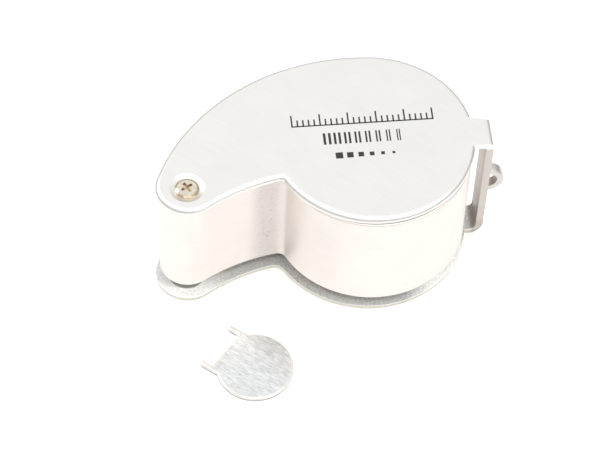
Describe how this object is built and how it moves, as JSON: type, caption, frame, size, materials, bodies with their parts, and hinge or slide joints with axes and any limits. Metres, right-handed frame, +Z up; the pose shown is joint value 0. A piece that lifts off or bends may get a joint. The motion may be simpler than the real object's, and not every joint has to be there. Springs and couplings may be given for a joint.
{
  "type": "viewing loupe",
  "caption": "Folding magnifier whose lit comma-shaped lens drum swings out of a bent metal cover about a corner screw, with a strap eye and a loose two-prong key.",
  "frame": {"origin": "on the pivot axis at the underside of the cover's bottom plate", "axes": "+Z up through the pivot screw, +X along the loupe to the strap eye, -Y towards the hollow side of the outline and the loose key"},
  "size_m": [0.0632, 0.0543, 0.0278],
  "materials": {
    "cover": "satin brushed",
    "strap_eye": "satin",
    "pivot_post": "turned",
    "pivot_screw": "nickel plated, warm tint",
    "washers": "natural nylon",
    "body_shell": "pearl silver satin paint",
    "base_cover": "silver grey, satin",
    "small_screws": "plated",
    "black_rings": "black anodised",
    "lenses": "polished, coated",
    "reflector": "white",
    "lamp": "clear epoxy",
    "circuit_board": "solder mask",
    "resistor": "moulded",
    "contacts": "bright",
    "button_cells": "bright can",
    "battery_cap": "turned face",
    "cap_seal": "soft",
    "spanner_key": "stamped, brushed"
  },
  "bodies": {
    "cover": {"cover": "cover", "strap_eye": "strap_eye", "pivot_post": "pivot_post", "pivot_screw": "pivot_screw", "upper_washer": "washers", "lower_washer": "washers"},
    "lens_body": {"body_shell": "body_shell", "base_cover": "base_cover", "base_screws": "small_screws", "eyepiece_ring": "black_rings", "upper_lens": "lenses", "lens_spacer": "black_rings", "lower_lens": "lenses", "lens_retainer": "black_rings", "reflector": "reflector", "aperture_ring": "black_rings", "lamp": "lamp", "circuit_board": "circuit_board", "resistor": "resistor", "contact_plate": "contacts", "contact_spring": "contacts", "button_cells": "button_cells", "cap_seal": "cap_seal"},
    "battery_cap": {"battery_cap": "battery_cap"},
    "key": {"spanner_key": "spanner_key"}
  },
  "joints": [
    {"name": "lens_swing", "type": "hinge", "parent": "cover", "child": "lens_body", "pos_m": [0, 0, 0.0138], "axis": [0, 0, -1], "range_deg": [-180, 180]},
    {"name": "cap_turn", "type": "hinge", "parent": "lens_body", "child": "battery_cap", "pos_m": [0.0089, 0.00797, 0.0018], "axis": [0, 0, -1], "range_deg": [0, 90]},
    {"name": "key_lift", "type": "slide", "parent": "cover", "child": "key", "axis": [0, 0, 1], "range_m": [0, 0.03]}
  ]
}
